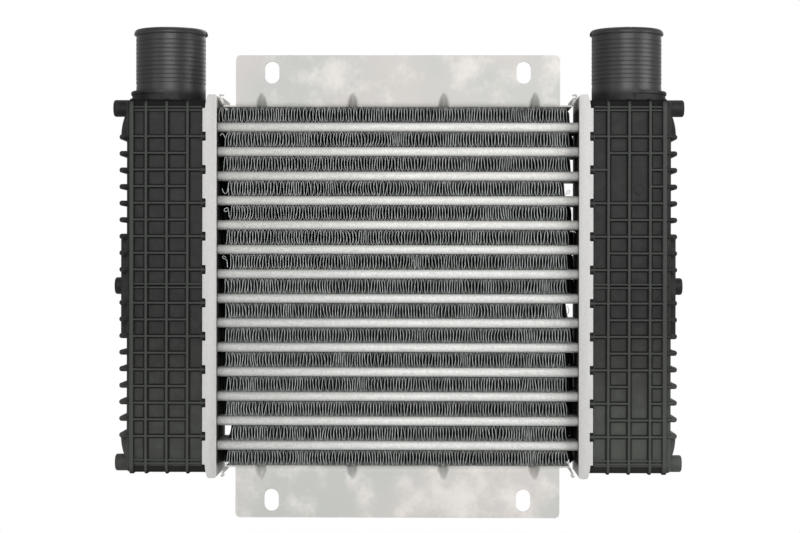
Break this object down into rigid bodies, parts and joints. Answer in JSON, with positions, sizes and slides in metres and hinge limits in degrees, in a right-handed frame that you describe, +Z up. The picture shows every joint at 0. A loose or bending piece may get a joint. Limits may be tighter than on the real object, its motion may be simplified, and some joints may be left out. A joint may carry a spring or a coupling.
{
  "type": "intercooler",
  "caption": "Air-to-air intercooler with a flat-tube aluminium core, two crimped black plastic end tanks with upright hose necks, and slotted side plates.",
  "frame": {"origin": "middle of the core across and front to back, at the height of the lower flange's edge", "axes": "+X across the core to the right tank, +Y from the flanges' front to the back, +Z up along the necks"},
  "size_m": [0.4844, 0.074, 0.4102],
  "materials": {
    "tube_aluminium": "satin",
    "fin_aluminium": "satin",
    "header_aluminium": "satin",
    "plate_aluminium": "matt",
    "tank_plastic": "satin",
    "gasket_rubber": "matt"
  },
  "bodies": {
    "root": {"bottom_side_plate": "plate_aluminium", "fin_01": "fin_aluminium", "fin_02": "fin_aluminium", "fin_03": "fin_aluminium", "fin_04": "fin_aluminium", "fin_05": "fin_aluminium", "fin_06": "fin_aluminium", "fin_07": "fin_aluminium", "fin_08": "fin_aluminium", "fin_09": "fin_aluminium", "fin_10": "fin_aluminium", "fin_11": "fin_aluminium", "fin_12": "fin_aluminium", "fin_13": "fin_aluminium", "fin_14": "fin_aluminium", "fin_15": "fin_aluminium", "left_gasket": "gasket_rubber", "left_header": "header_aluminium", "left_tank": "tank_plastic", "right_gasket": "gasket_rubber", "right_header": "header_aluminium", "right_tank": "tank_plastic", "top_side_plate": "plate_aluminium", "tube_01": "tube_aluminium", "tube_02": "tube_aluminium", "tube_03": "tube_aluminium", "tube_04": "tube_aluminium", "tube_05": "tube_aluminium", "tube_06": "tube_aluminium", "tube_07": "tube_aluminium", "tube_08": "tube_aluminium", "tube_09": "tube_aluminium", "tube_10": "tube_aluminium", "tube_11": "tube_aluminium", "tube_12": "tube_aluminium", "tube_13": "tube_aluminium", "tube_14": "tube_aluminium", "turbulator_01": "fin_aluminium", "turbulator_02": "fin_aluminium", "turbulator_03": "fin_aluminium", "turbulator_04": "fin_aluminium", "turbulator_05": "fin_aluminium", "turbulator_06": "fin_aluminium", "turbulator_07": "fin_aluminium", "turbulator_08": "fin_aluminium", "turbulator_09": "fin_aluminium", "turbulator_10": "fin_aluminium", "turbulator_11": "fin_aluminium", "turbulator_12": "fin_aluminium", "turbulator_13": "fin_aluminium", "turbulator_14": "fin_aluminium"}
  },
  "joints": []
}
